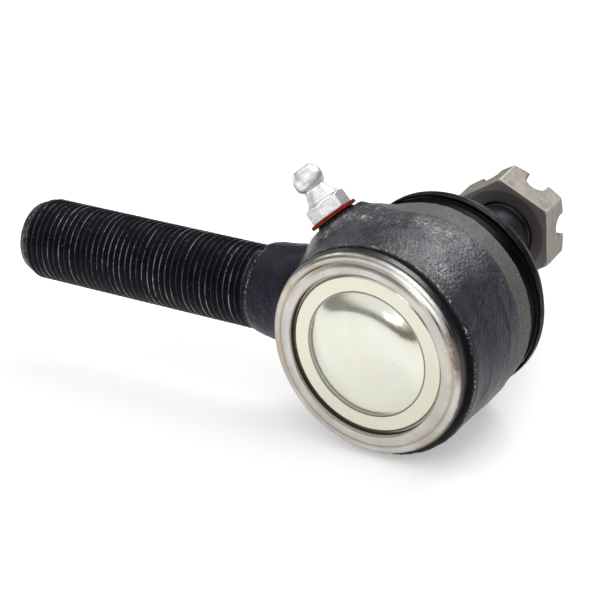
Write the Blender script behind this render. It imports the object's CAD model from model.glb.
import math

import bmesh
import bpy
import numpy as np
from mathutils import Matrix, Vector, noise


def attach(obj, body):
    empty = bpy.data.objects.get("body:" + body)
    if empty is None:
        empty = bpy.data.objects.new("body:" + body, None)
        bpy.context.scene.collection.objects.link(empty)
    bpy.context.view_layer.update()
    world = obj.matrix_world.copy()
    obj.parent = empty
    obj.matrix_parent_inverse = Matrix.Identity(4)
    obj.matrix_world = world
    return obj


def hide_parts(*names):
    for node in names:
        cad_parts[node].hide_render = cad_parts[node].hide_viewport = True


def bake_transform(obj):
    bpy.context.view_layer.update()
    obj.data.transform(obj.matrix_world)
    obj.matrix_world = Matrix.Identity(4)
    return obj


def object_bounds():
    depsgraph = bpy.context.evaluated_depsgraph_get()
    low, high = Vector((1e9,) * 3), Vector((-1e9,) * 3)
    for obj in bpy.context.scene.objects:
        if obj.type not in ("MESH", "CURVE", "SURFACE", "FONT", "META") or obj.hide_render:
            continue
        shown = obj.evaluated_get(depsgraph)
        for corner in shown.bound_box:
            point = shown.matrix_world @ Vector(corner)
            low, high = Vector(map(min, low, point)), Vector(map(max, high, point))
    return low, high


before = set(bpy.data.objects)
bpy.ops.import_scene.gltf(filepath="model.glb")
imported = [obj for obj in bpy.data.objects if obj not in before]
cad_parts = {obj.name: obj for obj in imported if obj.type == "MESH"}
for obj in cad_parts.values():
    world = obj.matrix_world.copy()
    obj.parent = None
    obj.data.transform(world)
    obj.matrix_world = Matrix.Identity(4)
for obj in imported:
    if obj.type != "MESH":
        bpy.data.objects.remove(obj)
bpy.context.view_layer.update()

MM = 0.001

# Driving dimensions in millimetres, those of the CAD. +Y is the socket's axis, from cover to nut.
PITCH = 1.5
SHANK_R, SHANK_ROOT_R = 9.0, 8.06
SHANK_TIP_X, SHANK_NECK_X = -95.5, -34.6
BARREL_R = 23.0
BORE_R = 16.0
BACK_Y = 11.35
BALL_R = 12.5
STUD_LEAN = math.radians(5.8)
STUD_WAIST_R = 6.6
STUD_CREST_R, STUD_ROOT_R = 6.95, 6.03
STUD_THREAD_S, STUD_TIP_S = 46.9, 60.5
NUT_TURN = math.radians(-29.2)
NUT_FACE_S, NUT_TOP_S = 48.1, 57.7
NUT_HALF_FLATS = 11.0
SLOT_HALF, SLOT_DEPTH = 2.4, 4.1
FIT_ANGLE = math.radians(49.3)
FIT_SEAT = 26.2
WASHER_T = 0.75
BASE = FIT_SEAT + WASHER_T + 0.02
COVER_TOP_Y = -18.75
SIXTH = math.radians(60)

# Axes of the turned parts: local +Y is the axis.
SOCKET = Matrix.Identity(4)
SHANK = Matrix.Rotation(math.radians(-90), 4, "Z")
STUD = Matrix.Rotation(STUD_LEAN, 4, "Z")
FITTING = Matrix.Rotation(FIT_ANGLE, 4, "Y") @ Matrix.Rotation(math.radians(90), 4, "Z")


# ---------------------------------------------------------------- mesh helpers
def new_object(name, verts, faces, body, node, sharp=35.0):
    """A piece from vertices in millimetres, riding on a body and standing for a CAD node."""
    mesh = bpy.data.meshes.new(name)
    mesh.from_pydata([tuple(v) for v in np.asarray(verts) * MM], [], faces)
    mesh.validate()
    bm = bmesh.new()
    bm.from_mesh(mesh)
    bmesh.ops.remove_doubles(bm, verts=bm.verts, dist=2e-7)
    bmesh.ops.dissolve_degenerate(bm, edges=bm.edges, dist=1e-7)
    bmesh.ops.recalc_face_normals(bm, faces=bm.faces)
    bm.to_mesh(mesh)
    bm.free()
    for p in mesh.polygons:
        p.use_smooth = True
    mesh.set_sharp_from_angle(angle=math.radians(sharp))
    obj = bpy.data.objects.new(name, mesh)
    bpy.context.scene.collection.objects.link(obj)
    if body:
        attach(obj, body)
    if node:
        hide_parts(node)
    return obj


def placed(matrix, points):
    m = np.array(matrix.to_3x3())
    return np.asarray(points, float) @ m.T


def rounded(points, radius, steps=4, closed=True):
    """Rounds the corners of an outline of (r, s) points."""
    out = []
    n = len(points)
    for i in range(n):
        p = np.array(points[i][:2], float)
        r = points[i][2] if len(points[i]) > 2 else radius
        if not closed and i in (0, n - 1) or r == 0:
            out.append(tuple(p))
            continue
        a = np.array(points[i - 1][:2], float) - p
        b = np.array(points[(i + 1) % n][:2], float) - p
        la, lb = np.linalg.norm(a), np.linalg.norm(b)
        a, b = a / la, b / lb
        half = math.acos(max(-1, min(1, float(a @ b)))) / 2
        if half > math.radians(88):
            out.append(tuple(p))
            continue
        cut = min(r / math.tan(half), 0.45 * la, 0.45 * lb)
        for k in range(steps + 1):
            t = k / steps
            out.append(tuple(p + a * cut * (1 - t) ** 2 + b * cut * t**2))
    return out


def smooth_curve(points, steps):
    """Catmull-Rom curve through points of any dimension."""
    p = np.asarray(points, float)
    p = np.vstack([2 * p[0] - p[1], p, 2 * p[-1] - p[-2]])
    out = []
    for i in range(1, len(p) - 2):
        for k in range(steps):
            t = k / steps
            a, b, c, d = p[i - 1], p[i], p[i + 1], p[i + 2]
            square, cube = 2 * a - 5 * b + 4 * c - d, 3 * b - 3 * c + d - a
            out.append(0.5 * (2 * b + (c - a) * t + square * t**2 + cube * t**3))
    out.append(p[-2])
    return np.array(out)


def ring_faces(rows, columns, closed_rows):
    faces = []
    last = rows if closed_rows else rows - 1
    for j in range(last):
        for i in range(columns):
            a, b = j * columns + i, j * columns + (i + 1) % columns
            c, d = (j + 1) % rows * columns + (i + 1) % columns, (j + 1) % rows * columns + i
            faces.append((a, b, c, d))
    return faces


def circle(r, s, angles):
    """A ring of points of radius r about local Y, at height s."""
    return np.stack([r * np.sin(angles), np.full(len(angles), float(s)), r * np.cos(angles)], -1)


def turned(outline, axis=SOCKET, columns=192, closed=True, ripple=None):
    """Vertices and faces of a surface of revolution about local Y. Points on the axis merge later."""
    a = np.arange(columns) * 2 * math.pi / columns
    rings = []
    for r, s in outline:
        rr, ss = np.full(columns, float(r)), np.full(columns, float(s))
        if ripple and r > 0:
            rr, ss = ripple(rr, ss, a)
        rings.append(np.stack([rr * np.sin(a), ss, rr * np.cos(a)], 1))
    return placed(axis, np.concatenate(rings)), ring_faces(len(outline), columns, closed)


def tube(path, radius, sides=12):
    """A round wire along a path, with domed ends."""
    path = np.asarray(path, float)
    tangent = np.gradient(path, axis=0)
    tangent /= np.linalg.norm(tangent, axis=1)[:, None]
    side = np.cross(tangent[0], [0.3, 0.5, 0.81])
    verts = []
    dome = (0.02, 0.5, 1.0)
    stations = [(0, radius * math.sin(t), -radius * math.cos(t)) for t in dome]
    stations += [(i, radius, 0.0) for i in range(len(path))]
    stations += [(len(path) - 1, radius * math.sin(t), radius * math.cos(t)) for t in reversed(dome)]
    a = np.arange(sides) * 2 * math.pi / sides
    for i, r, ahead in stations:
        side = side - tangent[i] * (side @ tangent[i])
        side /= np.linalg.norm(side)
        up = np.cross(tangent[i], side)
        ring = np.cos(a)[:, None] * side + np.sin(a)[:, None] * up
        verts.append(path[i] + tangent[i] * ahead + r * ring)
    faces = ring_faces(len(stations), sides, False)
    faces.append(tuple(range(sides)))
    n = len(stations)
    faces.append(tuple(reversed(range((n - 1) * sides, n * sides))))
    return np.concatenate(verts), faces


# ---------------------------------------------------------------- threads
# One pitch of the thread: (share of the pitch, depth from root to crest)
THREAD_OUTLINE = [
    (0.0, 0.0), (0.10, 0.0), (0.135, 0.05), (0.455, 0.93),
    (0.48, 1.0), (0.60, 1.0), (0.625, 0.93), (0.945, 0.05),
]


def thread_depth(phase):
    """0 at the root, 1 at the crest, over one pitch."""
    at = [p for p, _ in THREAD_OUTLINE] + [1.0]
    depth = [d for _, d in THREAD_OUTLINE] + [0.0]
    return np.interp(np.mod(phase, 1.0), at, depth)


def threaded(start, end, root, crest, ceiling, floor, columns=144, start_cap=(), end_cap=()):
    """A right-hand screw thread about local Y between start and end."""
    turns = int(math.ceil((end - start) / PITCH)) + 1
    bases = np.array([start + PITCH * (n + p) for n in range(-1, turns) for p, _ in THREAD_OUTLINE])
    i = np.arange(columns)
    s = np.clip(bases[:, None] + PITCH * i[None, :] / columns, start, end)
    r = root + (crest - root) * thread_depth((s - start) / PITCH - i[None, :] / columns)
    r = np.minimum(np.maximum(r, floor(s)), ceiling(s))
    a = 2 * math.pi * i / columns
    verts = np.stack([r * np.sin(a), s, r * np.cos(a)], -1).reshape(-1, 3)
    k, rows = len(THREAD_OUTLINE), len(bases)
    faces = []
    for j in range(rows - 1):
        for c in range(columns - 1):
            q = j * columns + c
            faces.append((q, q + 1, q + columns + 1, q + columns))
        if j + 1 + k < rows:
            q = j * columns + columns - 1
            w = (j + k) * columns
            faces.append((q, w, w + columns, q + columns))
    # rows before the first full turn close on themselves at the clamped ends
    for j in range(rows - k - 1, rows - 1):
        q = j * columns + columns - 1
        faces.append((q, (rows - 1) * columns, (rows - 1) * columns, q + columns))
    faces = [f for f in faces if len(set(f)) > 2]
    rings = [verts]
    count = len(verts)
    for cap, row in ((start_cap, 0), (end_cap, rows - 1)):
        before = row * columns
        for cr, cs in cap:
            rings.append(circle(cr, cs, a))
            for c in range(columns):
                d = (c + 1) % columns
                faces.append((before + c, before + d, count + d, count + c))
            before = count
            count += columns
    return np.concatenate(rings), faces


# ---------------------------------------------------------------- solids from distance fields
def smooth_min(a, b, k):
    """The smaller of two distances, with the corner between them rounded over k."""
    h = np.maximum(k - np.abs(a - b), 0) / k
    return np.minimum(a, b) - h * h * k / 4


def smooth_max(a, b, k):
    return -smooth_min(-a, -b, k)


def step_up(x, width):
    """0 before 0, 1 after it, over about the given width."""
    return 1 / (1 + np.exp(-x / width))


def gradient(field, p, eps=0.02):
    g = np.empty_like(p)
    for d in range(3):
        step = np.zeros(3)
        step[d] = eps
        g[:, d] = (field(p + step) - field(p - step)) / (2 * eps)
    return g


def carved(field, low, high, cell, passes=5):
    """Surface of a distance field: one vertex per crossed cell, then pulled onto the surface."""
    low, high = np.array(low, float), np.array(high, float)
    n = np.ceil((high - low) / cell).astype(int) + 1
    grids = np.meshgrid(*[low[d] + cell * np.arange(n[d]) for d in range(3)], indexing="ij")
    inside = (field(np.stack([g.ravel() for g in grids], 1)) < 0).reshape(n)
    total = np.zeros(n - 1, int)
    for dx in (0, 1):
        for dy in (0, 1):
            for dz in (0, 1):
                total += inside[dx : n[0] - 1 + dx, dy : n[1] - 1 + dy, dz : n[2] - 1 + dz]
    mixed = (total > 0) & (total < 8)
    index = np.full(n - 1, -1)
    index[mixed] = np.arange(mixed.sum())
    p = low + cell * (np.argwhere(mixed) + 0.5)
    quads = []
    for d in range(3):
        e, f = (d + 1) % 3, (d + 2) % 3
        here = [slice(None)] * 3
        there = [slice(None)] * 3
        here[d], there[d] = slice(0, -1), slice(1, None)
        a, b = inside[tuple(here)], inside[tuple(there)]
        at = np.argwhere(a != b)
        at = at[(at[:, e] > 0) & (at[:, f] > 0) & (at[:, e] < n[e] - 1) & (at[:, f] < n[f] - 1)]
        outward = a[tuple(at.T)]
        cells = []
        for de, df in ((1, 1), (0, 1), (0, 0), (1, 0)):
            c = at.copy()
            c[:, e] -= de
            c[:, f] -= df
            cells.append(index[tuple(c.T)])
        q = np.stack(cells, 1)
        q[~outward] = q[~outward][:, ::-1]
        quads.append(q)
    quads = np.concatenate(quads)
    turned_quads = np.roll(quads, -1, 1)
    one = np.concatenate([quads, turned_quads]).ravel()
    other = np.concatenate([turned_quads, quads]).ravel()
    degree = np.bincount(one, minlength=len(p))[:, None]
    for k in range(passes):
        if k:
            mean = np.stack([np.bincount(one, p[other, d], len(p)) for d in range(3)], 1) / degree
            p = p + 0.5 * (mean - p)
        for _ in range(2):
            g = gradient(field, p)
            step = field(p)[:, None] * g / np.maximum((g * g).sum(1), 0.05)[:, None]
            size = np.linalg.norm(step, axis=1)[:, None]
            p = p - step * np.minimum(1, cell / np.maximum(size, 1e-9))
    return p, quads, gradient(field, p)


def whole(quads):
    """Faces as plain whole numbers."""
    return [tuple(int(i) for i in q) for q in quads]


def wobble(points, size, seed, octaves=3):
    """Smooth noise about 0 at each point, with features of the given size in millimetres."""
    out = np.empty(len(points))
    shift = Vector((seed * 7.3, seed * 3.1, seed * 5.7))
    for k, p in enumerate(points / size):
        out[k] = noise.fractal(Vector(p) + shift, 0.9, 2.1, octaves)
    return out


def set_values(obj, name, values):
    attribute = obj.data.attributes.new(name, "FLOAT", "POINT")
    attribute.data.foreach_set("value", np.asarray(values, np.float32))


def coordinates(obj):
    co = np.empty(len(obj.data.vertices) * 3, np.float32)
    obj.data.vertices.foreach_get("co", co)
    return co.reshape(-1, 3).astype(float) / MM


# ---------------------------------------------------------------- materials
class Surface:
    """A Principled material with short calls for its procedural nodes."""

    def __init__(self, name):
        self.material = bpy.data.materials.new(name)
        self.material.use_nodes = True
        self.nodes = self.material.node_tree.nodes
        self.links = self.material.node_tree.links
        self.shader = self.nodes["Principled BSDF"]
        self.place = self.nodes.new("ShaderNodeTexCoord").outputs["Object"]

    def put(self, target, value):
        if isinstance(value, bpy.types.NodeSocket):
            self.links.new(value, target)
        else:
            target.default_value = value
        return target

    def scaled(self, scale):
        n = self.nodes.new("ShaderNodeMapping")
        self.links.new(self.place, n.inputs["Vector"])
        n.inputs["Scale"].default_value = scale
        return n.outputs["Vector"]

    def slanted(self, direction, stretch):
        """Coordinates squeezed along one direction, so that noise runs out into streaks that way."""
        axis = Vector(direction).normalized()
        n = self.nodes.new("ShaderNodeMapping")
        self.links.new(self.place, n.inputs["Vector"])
        n.inputs["Rotation"].default_value = axis.rotation_difference(Vector((1, 0, 0))).to_euler()
        n.inputs["Scale"].default_value = (1 / stretch, 1, 1)
        return n.outputs["Vector"]

    def noise(self, size, detail=4.0, rough=0.55, vector=None, distort=0.0):
        n = self.nodes.new("ShaderNodeTexNoise")
        self.links.new(vector or self.place, n.inputs["Vector"])
        n.inputs["Scale"].default_value = 1.0 if size is None else 1 / (size * MM)
        n.inputs["Detail"].default_value = detail
        n.inputs["Roughness"].default_value = rough
        n.inputs["Distortion"].default_value = distort
        return n.outputs["Fac"]

    def cells(self, size):
        n = self.nodes.new("ShaderNodeTexVoronoi")
        n.feature = "SMOOTH_F1"
        self.links.new(self.place, n.inputs["Vector"])
        n.inputs["Scale"].default_value = 1 / (size * MM)
        return n.outputs["Distance"]

    def remap(self, value, low, high, to_low=0.0, to_high=1.0, smooth=False):
        n = self.nodes.new("ShaderNodeMapRange")
        n.interpolation_type = "SMOOTHSTEP" if smooth else "LINEAR"
        self.put(n.inputs["Value"], value)
        for key, v in zip(("From Min", "From Max", "To Min", "To Max"), (low, high, to_low, to_high)):
            n.inputs[key].default_value = v
        return n.outputs["Result"]

    def math(self, operation, a, b=0.5, c=0.5, clamp=False):
        n = self.nodes.new("ShaderNodeMath")
        n.operation = operation
        n.use_clamp = clamp
        for k, v in enumerate((a, b, c)):
            self.put(n.inputs[k], v)
        return n.outputs[0]

    def plus(self, a, b):
        return self.math("ADD", a, b)

    def times(self, a, b, clamp=False):
        return self.math("MULTIPLY", a, b, clamp=clamp)

    def inverse(self, a, clamp=False):
        return self.math("SUBTRACT", 1.0, a, clamp=clamp)

    def near(self, value, centre, core, reach):
        """1 where value is within core of centre, falling to 0 at reach."""
        away = self.math("ABSOLUTE", self.math("SUBTRACT", value, centre))
        return self.inverse(self.remap(away, core, reach), clamp=True)

    def mix_value(self, fac, a, b):
        n = self.nodes.new("ShaderNodeMix")
        n.data_type = "FLOAT"
        self.put(n.inputs["Factor"], fac)
        self.put(n.inputs[2], a)
        self.put(n.inputs[3], b)
        return n.outputs[0]

    def mix(self, fac, a, b):
        """Colour a, going to colour b as fac goes to 1."""
        n = self.nodes.new("ShaderNodeMix")
        n.data_type = "RGBA"
        self.put(n.inputs["Factor"], fac)
        for key, v in ((6, a), (7, b)):
            if isinstance(v, bpy.types.NodeSocket):
                self.links.new(v, n.inputs[key])
            else:
                n.inputs[key].default_value = (*v, 1.0)
        return n.outputs[2]

    def attribute(self, name):
        n = self.nodes.new("ShaderNodeAttribute")
        n.attribute_name = name
        return n.outputs["Fac"]

    def axes(self):
        n = self.nodes.new("ShaderNodeSeparateXYZ")
        self.links.new(self.place, n.inputs["Vector"])
        return n.outputs["X"], n.outputs["Y"], n.outputs["Z"]

    def bump(self, height, distance_mm, strength=1.0, under=None):
        n = self.nodes.new("ShaderNodeBump")
        n.inputs["Strength"].default_value = strength
        n.inputs["Distance"].default_value = distance_mm * MM
        self.put(n.inputs["Height"], height)
        if under is not None:
            self.links.new(under, n.inputs["Normal"])
        return n.outputs["Normal"]

    def finish(self, colour, rough, metal=0.0, normal=None, **constants):
        if not isinstance(colour, bpy.types.NodeSocket):
            colour = (*colour, 1.0)
        self.put(self.shader.inputs["Base Color"], colour)
        self.put(self.shader.inputs["Roughness"], rough)
        self.put(self.shader.inputs["Metallic"], metal)
        if normal is not None:
            self.links.new(normal, self.shader.inputs["Normal"])
        for key, v in constants.items():
            self.shader.inputs[key].default_value = v
        return self.material


def radial(s, matrix):
    """Distance from a turned part's axis, place along it and angle round it."""
    parts = []
    for row in matrix.inverted().to_3x3():
        n = s.nodes.new("ShaderNodeVectorMath")
        n.operation = "DOT_PRODUCT"
        s.links.new(s.place, n.inputs[0])
        n.inputs[1].default_value = row
        parts.append(n.outputs["Value"])
    x, y, z = parts
    r = s.math("SQRT", s.plus(s.times(x, x), s.times(z, z)))
    return r, y, s.math("ARCTAN2", z, x)


def turning_marks(s, matrix, pitch_mm):
    """Fine rings round a turned part: noise fast along and across the axis, slow round it."""
    r, y, angle = radial(s, matrix)
    n = s.nodes.new("ShaderNodeCombineXYZ")
    s.links.new(s.times(r, 1 / (pitch_mm * MM)), n.inputs["X"])
    s.links.new(s.times(y, 1 / (pitch_mm * MM)), n.inputs["Y"])
    s.links.new(s.times(s.math("SINE", angle), 1.2), n.inputs["Z"])
    return s.noise(None, detail=2.0, vector=n.outputs["Vector"]), r, y


def forged_paint():
    """Black paint over a hammered forging: flecks and scuffs on top, a bare scraped band, chipped edges."""
    s = Surface("forged_black_paint")
    height = s.axes()[2]
    band, wear, shade = s.attribute("band"), s.attribute("wear"), s.attribute("shade")
    hammer = s.noise(0.50, 3.0, 0.6)
    grain = s.noise(0.20, 1.0, 0.5)
    large = s.noise(6.0, 3.0, 0.5)
    calm = s.remap(s.noise(8.0, 2.0, 0.5), 0.42, 0.60)

    base = s.mix(s.remap(large, 0.35, 0.65), (0.002, 0.003, 0.010), (0.006, 0.0075, 0.018))
    patches = s.remap(s.noise(2.2, 3.0, 0.6), 0.42, 0.60, 0.15, 1.0)
    fleck = s.times(s.remap(s.noise(0.34, 2.0, 0.7), 0.52, 0.70), patches, clamp=True)
    lit = s.remap(height, 9.0 * MM, 20.0 * MM, 0.15, 1.0, True)
    base = s.mix(s.times(fleck, lit), base, (0.17, 0.178, 0.20))
    speck = s.times(s.remap(s.noise(0.32, 2.0, 0.6), 0.665, 0.72), s.remap(large, 0.35, 0.6), clamp=True)
    base = s.mix(s.times(speck, 0.8), base, (0.27, 0.26, 0.25))

    grey = s.remap(s.noise(0.45, 4.0, 0.75), 0.36, 0.62, 0.15, 1.0)
    base = s.mix(s.times(band, grey), base, (0.125, 0.117, 0.098))
    scratch = s.noise(0.30, 3.0, 0.65, vector=s.slanted((0.35, 0.5, 0.8), 6.0))
    gouges = s.times(band, s.remap(scratch, 0.54, 0.66), clamp=True)
    base = s.mix(s.times(gouges, 0.6), base, (0.20, 0.195, 0.175))
    rubbed = s.noise(0.7, 6.0, 0.8, distort=2.0, vector=s.slanted((0.9, -0.3, -0.35), 2.2))
    scuff = s.times(s.attribute("scuff"), s.remap(rubbed, 0.52, 0.58), clamp=True)
    base = s.mix(scuff, base, (0.55, 0.55, 0.55))
    base = s.mix(shade, base, (0.004, 0.004, 0.006))
    chips = s.times(wear, s.remap(s.noise(0.5, 3.0, 0.7), 0.54, 0.60), clamp=True)
    base = s.mix(chips, base, (0.62, 0.53, 0.38))

    rough = s.plus(s.remap(calm, 0.0, 1.0, 0.31, 0.37), s.plus(s.times(band, 0.24), s.times(shade, 0.4)))
    relief = s.plus(hammer, s.plus(s.times(s.cells(0.70), 0.5), s.times(grain, 0.35)))
    relief = s.times(relief, s.remap(calm, 0.0, 1.0, 0.7, 1.0))
    relief = s.math("SUBTRACT", relief, s.times(gouges, 0.3))
    upper = s.remap(height, 6 * MM, 18 * MM, 0.17, 0.66, True)
    lower = s.remap(height, -5 * MM, -15 * MM, 0.17, 0.42, True)
    s.put(s.shader.inputs["Specular IOR Level"], s.math("MAXIMUM", upper, lower))
    return s.finish(base, rough, 0.0, s.bump(relief, 0.23, 0.95))


def lip_steel():
    """Bare turned steel on the rolled lip, going brown and then under black paint on its outer edge."""
    s = Surface("lip_steel_and_paint")
    marks, r, y = turning_marks(s, SOCKET, 0.16)
    x, _, z = s.axes()
    cloud = s.noise(6.0, 3.0, 0.5)
    fine = s.noise(0.5, 4.0, 0.6)
    ragged = s.noise(1.6, 5.0, 0.7)
    edge = s.plus(y, s.remap(ragged, 0.0, 1.0, -0.22 * MM, 0.22 * MM))
    paint = s.remap(edge, -17.15 * MM, -16.85 * MM)
    brown = s.remap(edge, -17.38 * MM, -17.0 * MM)

    steel = s.mix(s.remap(cloud, 0.3, 0.7), (0.46, 0.435, 0.40), (0.60, 0.575, 0.54))
    groove = s.near(r, 19.95 * MM, 0.05 * MM, 0.5 * MM)
    steel = s.mix(s.times(groove, 0.5), steel, (0.19, 0.14, 0.10))
    warm = s.times(s.remap(s.noise(8.0, 3.0, 0.6), 0.48, 0.66), s.remap(r, 18.2 * MM, 19.6 * MM))
    steel = s.mix(s.times(warm, 0.6), steel, (0.40, 0.31, 0.20))

    # polished where the edge faces up and right, brown to either side of that
    toward = s.plus(s.times(x, 0.62), s.times(z, 0.79))
    outer = s.remap(r, 18.6 * MM, 20.2 * MM)
    bright = s.times(s.remap(toward, 18.6 * MM, 20.6 * MM, smooth=True), outer, clamp=True)
    steel = s.mix(s.times(bright, 0.9), steel, (0.95, 0.94, 0.92))
    aside = s.remap(toward, 18.8 * MM, 20.4 * MM, 1.0, 0.15, True)
    side = s.times(s.remap(x, -12.0 * MM, 8.0 * MM, 0.1, 0.9), aside)
    steel = s.mix(s.times(brown, side), steel, (0.16, 0.125, 0.105))
    right = s.times(s.remap(x, 15.5 * MM, 19.5 * MM), s.remap(z, -3.0 * MM, 2.0 * MM), clamp=True)
    spread = s.plus(r, s.remap(ragged, 0.0, 1.0, -1.4 * MM, 1.4 * MM))
    smear = s.times(right, s.remap(spread, 19.9 * MM, 20.8 * MM), clamp=True)
    steel = s.mix(s.times(smear, 0.85), steel, (0.085, 0.065, 0.060))

    pits = s.remap(s.noise(0.6, 3.0, 0.7), 0.60, 0.68)
    inner = s.remap(r, 17.62 * MM, 17.42 * MM)
    steel = s.mix(s.times(inner, 0.7), steel, (0.22, 0.16, 0.125))
    steel = s.mix(s.times(inner, pits, clamp=True), steel, (0.03, 0.025, 0.02))
    steel = s.mix(s.times(pits, 0.25), steel, (0.16, 0.12, 0.09))

    rusty = s.remap(s.noise(5.0, 2.0, 0.5), 0.5, 0.62)
    rust = s.times(s.remap(s.noise(0.5, 2.0, 0.6), 0.67, 0.73), rusty, clamp=True)
    black = s.mix(s.remap(fine, 0.58, 0.72), (0.008, 0.008, 0.011), (0.024, 0.022, 0.022))
    black = s.mix(s.times(rust, 0.8), black, (0.30, 0.085, 0.03))
    rough = s.mix_value(paint, s.remap(marks, 0.3, 0.7, 0.15, 0.27), 0.36)
    metal = s.times(s.inverse(paint, clamp=True), s.inverse(s.times(inner, 0.8)), clamp=True)
    relief = s.plus(marks, s.times(fine, 0.5))
    return s.finish(s.mix(paint, steel, black), rough, metal, s.bump(relief, 0.03, 0.55))


def thread_black():
    """Blackened thread whose crests have rubbed bright here and there."""
    s = Surface("thread_black")
    patch = s.remap(s.noise(3.4, 5.0, 0.7), 0.44, 0.64)
    nick = s.remap(s.noise(0.6, 3.0, 0.7), 0.50, 0.62)
    turn = s.remap(s.noise(1.5, 1.0, 0.5, vector=s.scaled((1.0, 0.10, 0.10))), 0.40, 0.60, 0.12, 1.0)
    rubbed = s.plus(s.times(patch, 0.70), s.times(nick, 0.35))
    line = s.times(s.times(s.remap(s.attribute("crest"), 0.94, 1.0), rubbed, clamp=True), turn)
    base = s.mix(s.remap(s.noise(1.2, 4.0, 0.6), 0.35, 0.65), (0.0012, 0.0013, 0.005), (0.004, 0.0045, 0.011))
    base = s.mix(s.times(line, 0.95), base, (0.42, 0.42, 0.41))
    dusty = s.remap(s.noise(7.0, 2.0, 0.5), 0.46, 0.62)
    dust = s.times(s.remap(s.noise(0.38, 2.0, 0.5), 0.69, 0.74), dusty, clamp=True)
    base = s.mix(dust, base, (0.48, 0.34, 0.20))
    bare = s.times(s.attribute("bare"), s.remap(s.noise(0.7, 4.0, 0.7), 0.45, 0.62, 0.05, 0.9))
    base = s.mix(bare, base, (0.15, 0.14, 0.11))
    rough = s.remap(s.noise(0.7, 3.0, 0.6), 0.3, 0.7, 0.28, 0.46)
    normal = s.bump(s.noise(0.35, 4.0, 0.65), 0.05, 0.6)
    return s.finish(base, rough, s.times(line, 0.6), normal, **{"Specular IOR Level": 0.17})


def cover_zinc():
    """Yellowish zinc plate with hair scratches, a warmer flange and a dark line at the foot of the dome."""
    s = Surface("cover_zinc")
    marks, r, _ = turning_marks(s, SOCKET, 0.5)
    cloud = s.noise(7.0, 4.0, 0.55)
    brushed = s.noise(0.35, 2.0, 0.6, vector=s.scaled((1.0, 1.0, 0.12)))
    fine_lines = s.noise(0.22, 1.0, 0.5, vector=s.slanted((0.6, 0.0, -0.8), 9.0))
    hair = s.times(s.remap(fine_lines, 0.715, 0.75), s.remap(s.noise(3.0, 1.0, 0.5), 0.52, 0.60), clamp=True)
    spots = s.math("MAXIMUM", s.remap(s.noise(0.42, 2.0, 0.6), 0.70, 0.76), hair)
    base = s.mix(s.remap(cloud, 0.35, 0.65), (0.715, 0.705, 0.595), (0.725, 0.74, 0.66))
    base = s.mix(s.times(s.remap(r, 13.5 * MM, 13.7 * MM), 0.8), base, (0.69, 0.66, 0.545))
    base = s.mix(s.times(s.near(r, 13.38 * MM, 0.03 * MM, 0.28 * MM), 0.9), base, (0.05, 0.04, 0.03))
    base = s.mix(s.times(s.remap(r, 16.55 * MM, 16.85 * MM), 0.75), base, (0.22, 0.165, 0.125))
    base = s.mix(s.times(spots, 0.5), base, (0.36, 0.31, 0.22))
    rough = s.plus(s.remap(cloud, 0.3, 0.7, 0.10, 0.17), s.times(s.remap(brushed, 0.5, 0.7), 0.10))
    waves = s.plus(s.times(brushed, 0.25), s.times(s.noise(2.2, 3.0, 0.5), 0.6))
    relief = s.plus(s.times(marks, 0.3), waves)
    return s.finish(base, rough, 0.85, s.bump(relief, 0.035, 0.4))


def rubber():
    s = Surface("boot_rubber")
    cloud = s.noise(4.0, 4.0, 0.6)
    grain = s.noise(0.4, 3.0, 0.6)
    base = s.mix(s.remap(cloud, 0.35, 0.65), (0.0015, 0.0015, 0.003), (0.0035, 0.0035, 0.006))
    base = s.mix(s.times(s.remap(grain, 0.68, 0.78), 0.3), base, (0.012, 0.012, 0.014))
    rough = s.remap(cloud, 0.3, 0.7, 0.36, 0.50)
    normal = s.bump(s.plus(cloud, s.times(grain, 0.6)), 0.06, 0.6)
    return s.finish(base, rough, 0.0, normal, **{"Specular IOR Level": 0.035})


def stud_oxide():
    """Black oxide over turning marks, bare on the thread's crests and darkest beside the nut."""
    s = Surface("stud_black_oxide")
    marks, _, y = turning_marks(s, STUD, 0.12)
    cloud = s.noise(3.0, 3.0, 0.5)
    base = s.mix(s.remap(cloud, 0.3, 0.7), (0.030, 0.029, 0.038), (0.060, 0.057, 0.064))
    base = s.mix(s.times(s.remap(marks, 0.5, 0.75), 0.35), base, (0.13, 0.13, 0.15))
    crest = s.remap(s.attribute("crest"), 0.88, 0.99)
    rubbed = s.times(crest, s.remap(s.noise(0.6, 3.0, 0.6), 0.4, 0.6), clamp=True)
    base = s.mix(rubbed, base, (0.36, 0.36, 0.36))
    base = s.mix(s.times(s.remap(y, 44.8 * MM, 45.6 * MM), 0.9), base, (0.006, 0.006, 0.008))
    rough = s.remap(marks, 0.3, 0.7, 0.22, 0.34)
    return s.finish(base, rough, 0.75, s.bump(marks, 0.012, 0.5))


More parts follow.
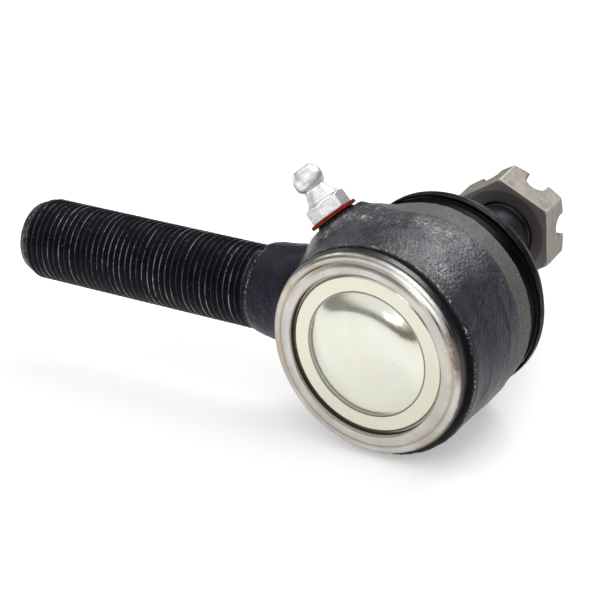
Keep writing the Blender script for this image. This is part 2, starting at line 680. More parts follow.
def nut_steel():
    """Grey phosphate with tan patches, a darker bearing face and bright corners."""
    s = Surface("nut_phosphated_steel")
    r, y, _ = radial(s, STUD)
    cloud = s.noise(2.8, 5.0, 0.6)
    grain = s.noise(0.5, 4.0, 0.65)
    streak = s.noise(0.3, 2.0, 0.6, vector=s.scaled((1.0, 0.16, 1.0)))
    tan = s.remap(s.noise(4.5, 3.0, 0.6), 0.5, 0.66)
    base = s.mix(s.remap(cloud, 0.3, 0.7), (0.140, 0.127, 0.108), (0.265, 0.242, 0.208))
    base = s.mix(s.times(s.remap(streak, 0.56, 0.72), 0.5), base, (0.42, 0.395, 0.36))
    base = s.mix(s.times(s.remap(grain, 0.60, 0.72), 0.5), base, (0.17, 0.155, 0.14))
    base = s.mix(s.times(tan, 0.45), base, (0.26, 0.21, 0.15))
    face = s.inverse(s.remap(y, (NUT_FACE_S + 0.06) * MM, (NUT_FACE_S + 0.24) * MM), clamp=True)
    bearing = s.times(face, s.inverse(s.remap(r, 9.75 * MM, 10.1 * MM), clamp=True), clamp=True)
    base = s.mix(s.times(face, 0.6), base, (0.165, 0.145, 0.145))
    base = s.mix(s.times(bearing, 0.8), base, (0.074, 0.063, 0.072))
    base = s.mix(s.times(s.attribute("wear"), 0.7), base, (0.60, 0.57, 0.52))
    rough = s.remap(grain, 0.3, 0.7, 0.42, 0.58)
    return s.finish(base, rough, 0.55, s.bump(s.plus(s.times(grain, 0.8), cloud), 0.05, 0.5))


def zinc_bright():
    s = Surface("fitting_zinc")
    marks = turning_marks(s, FITTING, 0.27)[0]
    cloud = s.noise(1.6, 3.0, 0.6)
    base = s.mix(s.remap(cloud, 0.3, 0.7), (0.74, 0.745, 0.75), (0.90, 0.90, 0.90))
    base = s.mix(s.times(s.remap(marks, 0.50, 0.62), 0.6), base, (0.46, 0.47, 0.48))
    rough = s.remap(marks, 0.3, 0.7, 0.32, 0.46)
    relief = s.plus(marks, s.times(s.noise(0.3, 3.0, 0.6), 0.4))
    return s.finish(base, rough, 0.9, s.bump(relief, 0.05, 0.7))


def red_fibre():
    s = Surface("washer_red_fibre")
    fibre = s.noise(0.35, 5.0, 0.7, distort=0.8)
    cloud = s.noise(1.2, 3.0, 0.6)
    base = s.mix(s.remap(fibre, 0.35, 0.65), (0.11, 0.010, 0.006), (0.34, 0.030, 0.014))
    base = s.mix(s.times(s.remap(cloud, 0.55, 0.7), 0.5), base, (0.46, 0.07, 0.035))
    rough = s.remap(fibre, 0.3, 0.7, 0.55, 0.8)
    return s.finish(base, rough, 0.0, s.bump(fibre, 0.05, 0.7), **{"Specular IOR Level": 0.12})


def wire_steel():
    s = Surface("ring_wire")
    cloud = s.noise(1.5, 3.0, 0.6)
    grain = s.noise(0.25, 3.0, 0.6)
    base = s.mix(s.remap(cloud, 0.35, 0.65), (0.006, 0.006, 0.008), (0.024, 0.025, 0.028))
    rough = s.remap(grain, 0.3, 0.7, 0.16, 0.26)
    return s.finish(base, rough, 0.85, s.bump(grain, 0.02, 0.5))


def spring_steel():
    s = Surface("spring_steel")
    cloud = s.noise(1.2, 3.0, 0.6)
    base = s.mix(s.remap(cloud, 0.35, 0.65), (0.30, 0.29, 0.28), (0.46, 0.45, 0.44))
    return s.finish(base, s.remap(cloud, 0.3, 0.7, 0.25, 0.4), 0.95, s.bump(cloud, 0.02, 0.5))


def seat_plastic():
    s = Surface("seat_acetal")
    cloud = s.noise(3.0, 3.0, 0.6)
    grain = s.noise(0.4, 3.0, 0.6)
    base = s.mix(s.remap(cloud, 0.3, 0.7), (0.70, 0.67, 0.58), (0.80, 0.78, 0.70))
    return s.finish(base, s.remap(grain, 0.3, 0.7, 0.35, 0.5), 0.0, s.bump(grain, 0.03, 0.5))


def floor_matte():
    s = Surface("floor_pale")
    cloud = s.noise(60.0, 3.0, 0.5)
    base = s.mix(s.remap(cloud, 0.3, 0.7), (0.74, 0.74, 0.74), (0.76, 0.76, 0.755))
    s.links.new(base, s.shader.inputs["Emission Color"])
    return s.finish(base, 0.85, 0.0, None, **{"Emission Strength": 0.50})


# ---------------------------------------------------------------- housing
def neck_radius(x):
    places = [-35.4, SHANK_NECK_X, -33.6, -32.0, -29.0, -26.0, -22.0]
    return np.interp(x, places, [8.75, 9.15, 9.6, 9.85, 10.2, 10.7, 11.5])


def trim_line(theta):
    """Where the trimmed band at the back of the barrel begins, wandering a little round it."""
    wander = 0.35 * np.sin(3.1 * theta + 0.6) + 0.22 * np.sin(11 * theta) + 0.12 * np.sin(23 * theta + 1)
    return 5.2 + wander - 2.2 * np.clip((theta - 1.3) / 0.6, 0, 1) * (theta < 2.6)


def parting_line(theta):
    return 0.1 + 0.12 * np.sin(9 * theta) + 0.08 * np.sin(21 * theta + 0.5)


# Raised beads beside the fitting's boss, (line, radius): a long one along its front, a knob at its end.
BEADS = [
    ([(-14.6, -8.6, 17.2), (-12.9, -7.4, 19.2), (-12.0, -5.5, 20.75), (-10.3, -3.7, 21.75)], 1.55),
    ([(-10.3, 0.2, 21.5), (-10.9, 1.0, 21.5)], 2.3),
]


# The boss's radius against the distance from the socket's axis.
BOSS = (
    [15, 20.5, 22.8, 24.2, 25.0, 25.4, 25.5, FIT_SEAT],
    [11.9, 10.6, 9.2, 7.7, 6.6, 5.6, 4.5, 4.3],
)


def barrel_radius(y, theta):
    """The bellied barrel, with its step down to the trimmed band, its parting step and its flash."""
    skin = BARREL_R - np.where(y > -5, 0.0041, 0.0033) * (y + 5) ** 2
    trimmed = 0.20 + 0.15 * np.clip((theta - 1.4) / 0.5, 0, 1)
    skin = skin - trimmed * step_up(y - trim_line(theta), 0.12)
    low_side = np.clip((0.75 - theta) / 0.5, 0, 1) * (theta > -2.2)
    skin = skin + 0.10 * low_side * step_up(y - parting_line(theta), 0.10)
    past = y - (-2.15 + 0.22 * np.sin(9 * theta) + 0.1 * np.sin(21 * theta))
    top_side = np.clip((theta - 1.38) / 0.12, 0, 1) * np.clip((2.1 - theta) / 0.1, 0, 1)
    flash = np.exp(-np.clip(past, 0, 20) / 1.6) * step_up(np.clip(past, -4, 4), 0.07)
    return skin + 0.42 * top_side * flash


def along_fitting(p):
    """Distance from the socket's axis towards the grease fitting, and distance beside that line."""
    along = -p[:, 0] * math.cos(FIT_ANGLE) + p[:, 2] * math.sin(FIT_ANGLE)
    beside = p[:, 0] * math.sin(FIT_ANGLE) + p[:, 2] * math.cos(FIT_ANGLE)
    return along, beside


def barrel(p):
    """The front of the barrel is forged a little off the socket's axis."""
    x, y, z = p.T
    shift = 0.42 * np.clip((-8 - y) / 5, 0, 1) ** 2
    return np.hypot(x - shift, z + 0.8 * shift) - barrel_radius(y, np.arctan2(z, x))


def shank_neck(p):
    """The neck between barrel and shank, with its parting ridge."""
    x, y, z = p.T
    away = np.hypot(y * 1.02, z) - neck_radius(x)
    neck = smooth_min(away, np.maximum(np.abs(y - 1.6) - 1.55, away - 0.62), 0.5)
    neck = smooth_max(neck, SHANK_NECK_X - 0.3 - x, 0.5)
    return smooth_max(neck, x + 5, 0.5)


def fitting_boss(p):
    along, beside = along_fitting(p)
    boss = np.hypot(p[:, 1] + 0.5 * (along < 25.4), beside - 0.2) - np.interp(along, *BOSS)
    boss = smooth_max(boss * 0.85, along - FIT_SEAT, 0.5)
    return smooth_max(boss, 10 - along, 0.5)


def with_beads(body, p):
    for line, size in BEADS:
        for a, b in zip(line[:-1], line[1:]):
            a, b = np.array(a), np.array(b)
            t = np.clip((p - a) @ (b - a) / ((b - a) @ (b - a)), 0, 1)
            away = np.linalg.norm(p - a - t[:, None] * (b - a), axis=1)
            body = smooth_min(body, away - size, 0.7)
    return body


def forging_field(p):
    """Barrel, neck and boss run together, then faced, bored and drilled."""
    y = p[:, 1]
    rho = np.hypot(p[:, 0], p[:, 2])
    body = smooth_min(barrel(p), shank_neck(p), 5.0)
    body = with_beads(smooth_min(body, fitting_boss(p), 3.2), p)
    body = smooth_max(body, y - BACK_Y, 0.2)
    spigot = smooth_max(rho - 18.9, np.abs(y - 9.0) - 5.6, 0.3)
    body = smooth_max(np.minimum(body, spigot), -14.5 - y, 0.15)
    bore = np.interp(y, [-20, 3.8, 7.0, 7.4, 14.6, 20], [BORE_R, BORE_R, 12.2, 11.9, 16.3, 19.6])
    body = smooth_max(body, (bore - rho) * 0.8, 0.3)
    along, beside = along_fitting(p)
    hole = np.maximum(np.hypot(y, beside) - np.where(along > 20.4, 3.2, 1.5), 5 - along)
    return smooth_max(body, -hole, 0.1)


# Marks on the paint, (centre, reach, amount).
SCUFFS = [
    ((3.2, 0.5, 22.7), 2.4, 0.9), ((6.9, -0.5, 21.9), 2.6, 1.0), ((9.8, 0.8, 20.6), 2.6, 1.0),
    ((11.7, 2.2, 19.5), 2.0, 0.9), ((13.1, -11.2, 18.7), 2.2, 0.95), ((14.3, -9.8, 17.9), 2.0, 0.9),
    ((10.5, 1.0, 20.0), 6.0, 0.45), ((-12.4, -6.2, 21.3), 1.9, 0.7), ((-10.8, -4.5, 22.5), 1.9, 0.8),
    ((-13.6, -8.0, 19.9), 1.5, 0.5),
]
CHIPS = [
    ((-7.6, -4.1, 22.9), 1.1, 1.0), ((-5.9, -3.4, 23.1), 0.6, 1.0),
    ((-13.6, -8.9, 19.3), 0.9, 1.0), ((-15.0, -9.5, 17.6), 0.8, 1.0),
]


def near_marks(q, marks):
    nearest = np.zeros(len(q))
    for centre, reach, amount in marks:
        away = np.linalg.norm(q - np.array(centre), axis=1)
        nearest = np.maximum(nearest, amount * np.clip(1.3 - away / reach, 0, 1))
    return nearest


def hammered(p, g):
    """The carved surface pushed out and in like a forging's, but not on the fitting's seat."""
    normal = g / np.linalg.norm(g, axis=1)[:, None]
    rho = np.hypot(p[:, 0], p[:, 2])
    along, beside = along_fitting(p)
    keep_flat = np.clip(np.abs(along - FIT_SEAT) / 0.8, 0, 1)
    keep_flat = np.where(np.hypot(p[:, 1], beside) < 7, keep_flat, 1)
    rough = 0.085 * wobble(p, 2.8, 1, 3) + 0.035 * wobble(p, 1.5, 2, 2)
    push = np.minimum(rough, 0.10) * ((rho > 19.5) | (p[:, 0] < -20)) * keep_flat
    band = step_up(p[:, 1] - 5.3, 0.25) * (rho > 20)
    return p + normal * (push * (1 + 0.5 * band))[:, None]


def weather_forging(obj):
    """Where the forging is trimmed, shaded beside the lip, worn to bare metal and scuffed."""
    q = coordinates(obj)
    x, y, z = q.T
    rho, theta = np.hypot(x, z), np.arctan2(z, x)
    band = step_up(y - trim_line(theta), 0.15)
    scraped = 0.42 * np.clip((0.15 - theta) / 0.5, 0, 1) * step_up(y - parting_line(theta), 0.12)
    set_values(obj, "band", np.maximum(band, scraped) * (rho > 20) * (x > -23))
    front_rho = np.hypot(x - 0.42, z + 0.34)
    beside_lip = np.clip((22.62 - front_rho) / 0.25, 0, 1)
    set_values(obj, "shade", np.clip((-14.25 - y) / 0.2, 0, 1) * beside_lip)
    front = np.clip(1.2 - np.abs(y + 14.3) / 0.25, 0, 1) * (front_rho > 22.42)
    front = front * np.clip(0.55 + 4 * wobble(q, 6.0, 5, 2), 0.1, 1)
    back = np.clip(1 - np.abs(y - 11.25) / 0.25, 0, 1) * (rho > 21.3)
    neck_end = np.clip(1 - np.abs(x - SHANK_NECK_X) / 0.9, 0, 1)
    wear = front + 0.8 * back + 0.9 * neck_end + near_marks(q, CHIPS)
    set_values(obj, "wear", np.clip(wear, 0, 1))
    set_values(obj, "scuff", near_marks(q, SCUFFS))


def build_forging():
    p, quads, g = carved(forging_field, (-35.6, -15.0, -23.8), (23.8, 15.1, 24.6), 0.30)
    p = hammered(p, g)
    obj = new_object("housing_forging", p, whole(quads), "socket", "housing", sharp=60)
    weather_forging(obj)
    obj.data.materials.append(forged_paint())


def build_lip():
    outline = [
        (16.1, -14.3, 0), (21.85, -14.3, 0), (21.85, -16.55, 0.3), (21.7, -16.95, 0.4),
        (21.3, -17.3, 0.4), (20.75, -17.52, 0.4), (20.25, -17.58, 0.12), (19.95, -17.52, 0.1),
        (19.65, -17.72, 0.3), (18.8, -17.96, 0.8), (17.8, -18.05, 0.3), (17.4, -17.9, 0.25),
        (17.35, -17.4, 0.1), (18.5, -17.2, 0), (18.5, -15.6, 0), (16.1, -15.6, 0),
    ]

    def ripple(r, s, a):
        wave = 0.02 * np.sin(3 * a + 0.4) + 0.012 * np.sin(7 * a + 2.0)
        return (r, s) if s[0] > -16.4 else (r + wave, s + 0.5 * wave)

    verts, faces = turned(rounded(outline, 0.2), SOCKET, 288, True, ripple)
    obj = new_object("housing_rolled_lip", verts, faces, "socket", "housing", sharp=50)
    obj.data.materials.append(lip_steel())


def build_shank():
    start, end = SHANK_TIP_X, SHANK_NECK_X
    depth = SHANK_R - SHANK_ROOT_R

    def ceiling(s):
        return np.minimum(SHANK_R, 7.55 + 0.43 * (s - start))

    def floor(s):
        return np.interp(s, [end - 2.0, end - 0.6, end], [0.0, 8.7, 8.95])

    tip = [(7.35, start + 0.1), (7.1, start), (6.9, start + 0.04), (0.0, start + 0.04)]
    inner = [(6.0, end + 0.1), (0.0, end + 0.1)]
    verts, faces = threaded(start + 0.35, end, SHANK_ROOT_R, SHANK_R, ceiling, floor, 168, tip, inner)
    verts = placed(SHANK, verts)
    obj = new_object("housing_shank_thread", verts, faces, "socket", "housing", sharp=50)
    q = coordinates(obj)
    r = np.hypot(q[:, 1], q[:, 2])
    set_values(obj, "crest", np.clip((r - SHANK_ROOT_R) / depth, 0, 1))
    near_tip = np.clip((start + 3.2 - q[:, 0]) / 1.2, 0, 1)
    set_values(obj, "bare", near_tip * np.clip((8.75 - r) / 0.5 + 0.3, 0, 1))
    obj.data.materials.append(thread_black())


def build_cover():
    back_y = COVER_TOP_Y + 1.4
    outline = [
        (13.38, -17.02, 0.05), (13.62, -17.15, 0.12), (16.45, -17.15, 0.2),
        (16.82, -16.98, 0.1), (16.86, -16.9, 0.1), (18.3, -16.9, 0.1), (18.4, -16.5, 0), (18.4, -15.62, 0),
        (12.6, -15.62, 0.5), (11.2, -16.4, 0.5), (9.2, back_y, 0.5), (0.0, back_y, 0),
    ]
    dome = [
        (0.0, -0.36), (3.0, -0.355), (5.0, -0.345), (7.2, -0.29), (8.6, -0.16), (9.7, 0.07),
        (10.6, 0.36), (11.3, 0.66), (12.0, 1.01), (12.6, 1.36), (13.0, 1.60), (13.16, 1.70),
    ]
    profile = [(r, COVER_TOP_Y + h) for r, h in smooth_curve(dome, 6)]
    verts, faces = turned(profile + rounded(outline, 0.2, 6, False), SOCKET, 288)
    node = "cover_plate"
    obj = new_object("cover_plate_domed", verts, faces, "socket", node, sharp=60)
    obj.data.materials.append(cover_zinc())


# ---------------------------------------------------------------- stud and nut
def stud_outline():
    """(radius, height) from the ball's flat end to the start of the thread."""
    flat_s = -11.9
    waist_s = math.sqrt(BALL_R**2 - STUD_WAIST_R**2)
    angles = np.linspace(math.asin(flat_s / BALL_R), math.asin(waist_s / BALL_R), 48)
    ball = [(BALL_R * math.cos(t), BALL_R * math.sin(t)) for t in angles]
    shank = [
        (STUD_WAIST_R, 11.3, 0), (STUD_WAIST_R, 19.5, 3), (8.45, 24.5, 3),
        (7.38, 46.0, 0.2), (6.75, 46.6, 0.2), (6.75, STUD_THREAD_S, 0),
    ]
    outline = [(0.0, flat_s), (3.4, flat_s)] + ball + [(STUD_WAIST_R, 11.2)]
    return outline + rounded(shank, 0.2, 5, False)


def cotter_drill():
    """A rod where the cotter pin's hole goes, in line with the nut's slots."""
    verts, faces = turned([(0.0, -12.0), (1.7, -12.0), (1.7, 12.0), (0.0, 12.0)], SOCKET, 32, False)
    across = Matrix.Rotation(-(NUT_TURN + SIXTH / 2), 4, "Y")
    across = across @ Matrix.Rotation(math.radians(-90), 4, "Z")
    hole = placed(across, verts) + np.array([0, 55.7, 0])
    return new_object("cotter_drill", placed(STUD, hole), faces, None, None)


def build_stud():
    start, end = STUD_THREAD_S, STUD_TIP_S - 0.2

    def ceiling(s):
        return np.minimum(STUD_CREST_R, 6.1 + 1.2 * (STUD_TIP_S - 0.1 - s))

    def floor(s):
        return np.interp(s, [start, 47.6, 48.4], [6.75, 6.4, 0.0])

    below = [(r, s) for r, s in reversed(stud_outline()[:-1])]
    above = [(5.7, STUD_TIP_S), (0.0, STUD_TIP_S)]
    verts, faces = threaded(start, end, STUD_ROOT_R, STUD_CREST_R, ceiling, floor, 144, below, above)
    verts = placed(STUD, verts)
    obj = new_object("ball_stud_turned", verts, faces, "stud", "ball_stud", sharp=50)
    drill = cotter_drill()
    cut = obj.modifiers.new("cotter hole", "BOOLEAN")
    cut.operation, cut.solver, cut.object = "DIFFERENCE", "EXACT", drill
    apply_modifiers(obj)
    bpy.data.objects.remove(drill)
    q = placed(STUD.inverted(), coordinates(obj))
    r, s = np.hypot(q[:, 0], q[:, 2]), q[:, 1]
    crest = np.clip((r - STUD_ROOT_R) / (STUD_CREST_R - STUD_ROOT_R), 0, 1)
    set_values(obj, "crest", crest * (s > start + 0.05) * (s < end - 0.1))
    obj.data.materials.append(stud_oxide())


def apply_modifiers(obj):
    depsgraph = bpy.context.evaluated_depsgraph_get()
    depsgraph.update()
    mesh = bpy.data.meshes.new_from_object(obj.evaluated_get(depsgraph))
    obj.modifiers.clear()
    obj.data = mesh
    for p in mesh.polygons:
        p.use_smooth = True
    mesh.set_sharp_from_angle(angle=math.radians(50))


def folded_angle(x, z, turn):
    """Angle from the middle of the nearest flat of a hexagon turned by the given angle."""
    return np.mod(np.arctan2(z, x) - turn + SIXTH / 2, SIXTH) - SIXTH / 2


def hexagon(rho, folded, rounding):
    """Distance from the axis measured square to the flats, its corners rounded."""
    return smooth_max(rho * np.cos(folded), rho * np.cos(np.abs(folded) - SIXTH), rounding)


def nut_field(p):
    """Slotted nut in the stud's own frame, its bore just clear of the stud's thread at every turn."""
    x, s, z = p.T
    rho = np.hypot(x, z)
    folded = folded_angle(x, z, NUT_TURN + SIXTH / 2)
    chamfer = ((rho - 11.35) * 0.8 + (s - NUT_TOP_S) * 1.4) / 1.612
    lower = ((rho - 12.7) * 0.3 + (NUT_FACE_S - s) * 0.5) / 0.583
    d = smooth_max(hexagon(rho, folded, 0.18) - NUT_HALF_FLATS, chamfer, 0.2)
    d = smooth_max(d, lower, 0.15)
    d = smooth_max(smooth_max(d, s - NUT_TOP_S, 0.25), NUT_FACE_S - s, 0.15)
    low = NUT_TOP_S - SLOT_DEPTH + SLOT_HALF
    beside = rho * np.sin(folded)
    slot = np.where(s > low, np.abs(beside), np.hypot(beside, s - low)) - SLOT_HALF
    d = smooth_max(d, -slot, 0.25)
    phase = (s - STUD_THREAD_S) / PITCH - np.arctan2(x, z) / (2 * math.pi)
    bore = STUD_CREST_R + 0.05 + 0.14 * thread_depth(phase)
    sink = np.maximum(7.35 - (s - NUT_FACE_S), 7.45 - (NUT_TOP_S - s))
    return smooth_max(d, (np.maximum(bore, sink) - rho) * 0.75, 0.08)


def build_nut():
    low, high = (-13.2, NUT_FACE_S - 0.5, -13.2), (13.2, NUT_TOP_S + 0.5, 13.2)
    p, quads, _ = carved(nut_field, low, high, 0.2)
    p = placed(STUD, p)
    obj = new_object("castle_nut_slotted", p, whole(quads), "nut", "castle_nut", sharp=70)
    q = placed(STUD.inverted(), coordinates(obj))
    rho = np.hypot(q[:, 0], q[:, 2])
    folded = np.abs(folded_angle(q[:, 0], q[:, 2], NUT_TURN + SIXTH / 2))
    corner = np.clip(1 - np.abs(folded - SIXTH / 2) / math.radians(1.6), 0, 1) * (rho > 11.8)
    rim = np.clip(1 - np.abs(q[:, 1] - 48.2) / 0.2, 0, 1) * (rho * np.cos(folded) > 10.75)
    set_values(obj, "wear", np.clip(corner + rim, 0, 1))
    obj.data.materials.append(nut_steel())


# ---------------------------------------------------------------- boot
def boot_skin():
    """(height, radius, share of the stud's lean) up the outside, over the neck, and back inside."""
    outside = [
        (17.4, 21.05, 0.0), (18.6, 20.95, 0.03), (20.2, 20.0, 0.1), (21.6, 17.6, 0.25),
        (22.8, 14.85, 0.5), (24.2, 12.95, 0.75), (26.0, 11.6, 0.95), (27.2, 11.1, 1.0),
    ]
    neck = [
        (28.2, 11.0), (28.45, 10.75), (28.6, 10.15), (28.75, 10.0), (29.9, 10.0), (30.0, 10.15),
        (30.15, 10.7), (30.4, 10.85), (31.0, 10.6), (31.2, 10.3), (31.2, 8.5), (31.0, 8.32),
        (30.2, 8.36), (29.4, 8.45), (27.4, 8.55), (27.0, 8.8),
    ]
    inside = [
        (26.9, 9.4, 1.0), (25.5, 10.95, 0.95), (24.5, 11.85, 0.85), (23.6, 12.85, 0.75),
        (22.0, 14.6, 0.5), (20.7, 17.0, 0.25), (19.6, 18.7, 0.1), (18.2, 19.4, 0.03), (17.2, 19.4, 0.0),
    ]
    rim = [
        (16.2, 19.0), (14.6, 19.02), (11.45, 19.0), (11.42, 19.3), (11.42, 20.6), (11.6, 20.85),
        (12.0, 20.9), (13.4, 20.95), (14.3, 21.0), (14.5, 21.3), (14.65, 21.4), (14.8, 21.38),
        (14.92, 21.25), (14.95, 21.2), (15.3, 21.12), (16.9, 21.12), (17.2, 21.1),
    ]
    skin = list(smooth_curve(outside, 6)) + [(s, r, 1) for s, r in neck]
    return skin + list(smooth_curve(inside, 5)) + [(s, r, 0) for s, r in rim]


def build_boot():
    columns = 192
    a = np.arange(columns) * 2 * math.pi / columns
    rings = []
    for s, r, share in boot_skin():
        rings.append(placed(Matrix.Rotation(STUD_LEAN * share, 4, "Z"), circle(r, s, a)))
    verts, faces = np.concatenate(rings), ring_faces(len(rings), columns, True)
    obj = new_object("dust_boot_rubber", verts, faces, None, "dust_boot", sharp=50)
    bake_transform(obj)
    obj.data.materials.append(rubber())


def build_rings():
    """Close turns of wire round the boot's wide end, and an open ring round its neck."""
    wire = wire_steel()
    turns, spacing, r = 2.92, 0.72, 21.98 - 0.36
    t = np.linspace(0, turns * 2 * math.pi, 360)
    s = np.clip(15.28 + spacing * t / (2 * math.pi), 15.3, 16.85)
    verts, faces = tube(np.stack([r * np.sin(t + 2.6), s, r * np.cos(t + 2.6)], 1), 0.35, 14)
    clamp = new_object("boot_clamp_wire", verts, faces, "socket", "boot_clamp_ring", sharp=60)
    clamp.data.materials.append(wire)
    gap = 0.12
    verts, faces = tube(circle(10.62, 29.33, np.linspace(gap, 2 * math.pi - gap, 120)), 0.54, 14)
    verts = placed(STUD, verts)
    node = "boot_neck_ring"
    neck = new_object("boot_neck_snap_ring", verts, faces, "boot_neck", node, sharp=60)
    neck.data.materials.append(wire)


# ---------------------------------------------------------------- grease fitting
def hex_field(p):
    """The fitting's hexagon in its own frame, corners rounded by the turning of its two ends."""
    x, s, z = p.T
    rho = np.hypot(x, z)
    d = hexagon(rho, folded_angle(x, z, math.radians(17.2)), 0.12) - 4.0
    d = smooth_max(d, (rho - 3.95) * 0.5 + (s - BASE - 3.25) * 0.866, 0.10)
    d = smooth_max(d, (rho - 4.45) * 0.6 + (BASE - s) * 0.8, 0.12)
    d = smooth_max(smooth_max(d, s - BASE - 3.55, 0.12), BASE - s, 0.1)
    return smooth_max(d, 1.35 - rho, 0.08)


def build_fitting_body():
    """The hexagon, and the turned part from the shank in the housing to the mouth of the nozzle."""
    zinc, node, slot = zinc_bright(), "grease_fitting_body", "bright_zinc"
    p, quads, _ = carved(hex_field, (-5.0, BASE - 0.4, -5.0), (5.0, BASE + 4.6, 5.0), 0.12)
    p = placed(FITTING, p)
    block = new_object("grease_fitting_hexagon", p, whole(quads), "socket", node, sharp=70)
    block.data.materials.append(zinc)
    shank = [(1.3, 20.6, 0), (2.7, 20.6, 0.1), (3.15, 21.1, 0.1), (3.15, BASE + 3.1, 0), (3.6, BASE + 3.4, 0)]
    skin = [
        (3.52, 3.6), (3.3, 3.95), (2.95, 4.6), (2.65, 5.3), (2.45, 5.9), (2.38, 6.3), (2.5, 6.52),
        (2.85, 6.78), (3.15, 7.3), (3.29, 8.0), (3.32, 8.6), (3.28, 9.1), (3.1, 9.6), (2.75, 10.2),
        (2.4, 10.75), (2.15, 11.0),
    ]
    top = BASE + 11.15
    mouth = [
        (1.9, top - 0.05, 0), (1.6, top, 0.1), (0.95, top, 0.1), (0.8, top - 0.2, 0.05),
        (0.8, top - 0.25, 0), (1.3, top - 0.8, 0),
    ]
    outline = rounded(shank, 0.1, 4, False) + [(r, BASE + h) for r, h in smooth_curve(skin, 4)]
    verts, faces = turned(outline + rounded(mouth, 0.1, 3, False), FITTING, 96)
    nozzle = new_object("grease_fitting_nozzle", verts, faces, "socket", node, sharp=55)
    nozzle.data.materials.append(zinc)


def build_fitting_washer():
    outline = [
        (3.3, 26.22, 0.05), (5.35, 26.22, 0.12), (5.35, 26.52, 0.05), (5.2, 26.58, 0.02),
        (5.34, 26.64, 0.05), (5.33, 26.95, 0.15), (3.3, 26.95, 0.05),
    ]

    def ripple(r, s, a):
        return r + (0.05 * np.sin(5 * a) + 0.03 * np.sin(9 * a + 1)) * (r > 4), s

    verts, faces = turned(rounded(outline, 0.1, 3), FITTING, 96, True, ripple)
    node = "fitting_washer"
    washer = new_object("fitting_washer_fibre", verts, faces, "socket", node, sharp=60)
    washer.data.materials.append(red_fibre())


def build_check_spring():
    """The check ball's spring: its near end stays in the fitting and its far end follows the ball."""
    start, end, radius, wire, turns = 31.0, 36.12, 0.95, 0.16, 6
    t = np.linspace(0, 1, 300)
    a = 2 * turns * math.pi * t
    path = np.stack([radius * np.sin(a), start + (end - start) * t, radius * np.cos(a)], 1)
    verts, faces = tube(path, wire, 10)
    verts = placed(FITTING, verts)
    node = "fitting_spring"
    spring = new_object("fitting_check_spring", verts, faces, None, node, sharp=60)
    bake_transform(spring)
    spring.data.materials.append(spring_steel())


def finish_inner_nodes():
    plastic, steel = seat_plastic(), spring_steel()
    for name, material in (
        ("upper_bearing_seat", plastic), ("lower_bearing_seat", plastic), ("preload_spring", steel),
        ("fitting_check_ball", steel),
    ):
        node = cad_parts[name]
        node.data.materials.clear()
        node.data.materials.append(material)


# ---------------------------------------------------------------- stage
def area_light(name, place, target, size, power):
    data = bpy.data.lights.new(name, "AREA")
    data.shape, data.size, data.size_y = "RECTANGLE", size[0], size[1]
    data.energy = power
    obj = bpy.data.objects.new(name, data)
    obj.location = place
    obj.rotation_euler = (Vector(target) - Vector(place)).to_track_quat("-Z", "Y").to_euler()
    bpy.context.scene.collection.objects.link(obj)


def build_stage():
    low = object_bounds()[0][2]
    size = 4.0
    verts = [(-size, -size, low), (size, -size, low), (size, size, low), (-size, size, low)]
    mesh = bpy.data.meshes.new("floor")
    mesh.from_pydata(verts, [], [(0, 1, 2, 3)])
    floor = bpy.data.objects.new("floor", mesh)
    bpy.context.scene.collection.objects.link(floor)
    floor.data.materials.append(floor_matte())
    build_world()
    area_light("back_softbox", (0.05, 0.62, 0.56), (0, 0, 0), (0.44, 0.24), 3.5)
    area_light("front_softbox", (0.24, -0.52, 0.66), (0, 0, 0), (0.30, 0.20), 0.55)
    area_light("low_front_softbox", (0.07, -0.90, 0.28), (0, 0, 0), (0.30, 0.12), 0.35)
    area_light("left_softbox", (-0.60, -0.25, 0.42), (-0.03, 0, 0), (0.22, 0.4), 0.2)


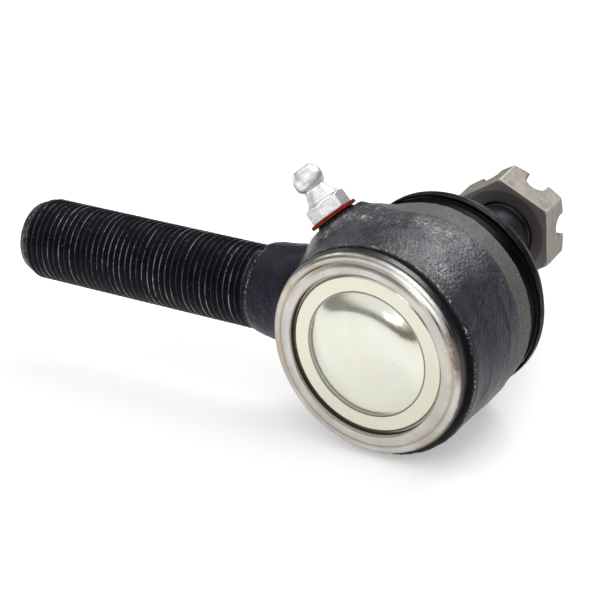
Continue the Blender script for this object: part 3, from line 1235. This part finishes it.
def build_world():
    """White overhead, dark towards the horizon, a little warm on the camera's side of the room."""
    world = bpy.data.worlds.new("studio")
    world.use_nodes = True
    nodes, links = world.node_tree.nodes, world.node_tree.links
    direction = nodes.new("ShaderNodeTexCoord").outputs["Generated"]
    split = nodes.new("ShaderNodeSeparateXYZ")
    links.new(direction, split.inputs["Vector"])

    def ramp(value, low, high):
        n = nodes.new("ShaderNodeMapRange")
        n.interpolation_type = "SMOOTHSTEP"
        n.inputs["From Min"].default_value, n.inputs["From Max"].default_value = low, high
        links.new(value, n.inputs["Value"])
        return n.outputs["Result"]

    def blend(fac, a, b):
        n = nodes.new("ShaderNodeMix")
        n.data_type = "RGBA"
        links.new(fac, n.inputs["Factor"])
        for key, v in ((6, a), (7, b)):
            if isinstance(v, tuple):
                n.inputs[key].default_value = (*v, 1)
            else:
                links.new(v, n.inputs[key])
        return n.outputs[2]

    horizon = blend(ramp(split.outputs["Y"], -0.5, 0.2), (0.085, 0.055, 0.030), (0.026, 0.029, 0.042))
    horizon = blend(ramp(split.outputs["X"], 0.1, -0.6), horizon, (0.20, 0.195, 0.19))
    tilt = nodes.new("ShaderNodeMath")
    tilt.operation = "MULTIPLY_ADD"
    tilt.inputs[1].default_value = -0.28
    links.new(split.outputs["Y"], tilt.inputs[0])
    links.new(split.outputs["Z"], tilt.inputs[2])
    sky = blend(ramp(tilt.outputs[0], 0.37, 0.62), horizon, (1.05, 1.05, 1.05))
    links.new(sky, nodes["Background"].inputs["Color"])
    nodes["Background"].inputs["Strength"].default_value = 1.0
    bpy.context.scene.world = world
    bpy.context.scene.view_settings.view_transform = "Standard"


def build_camera():
    data = bpy.data.cameras.new("camera")
    data.sensor_width = 36.0
    data.lens = 141.1
    data.clip_start, data.clip_end = 0.01, 20.0
    obj = bpy.data.objects.new("camera", data)
    right, up, back = (0.8405, 0.5400, -0.0441), (-0.1961, 0.3790, 0.9044), (0.5050, -0.7515, 0.4245)
    m = Matrix((right, up, back)).transposed().to_4x4()
    m.translation = (0.2219, -0.3697, 0.2078)
    obj.matrix_world = m
    bpy.context.scene.collection.objects.link(obj)
    bpy.context.scene.camera = obj


build_forging()
build_lip()
build_shank()
build_cover()
build_stud()
build_nut()
build_boot()
build_rings()
build_fitting_body()
build_fitting_washer()
build_check_spring()
finish_inner_nodes()
build_stage()
build_camera()
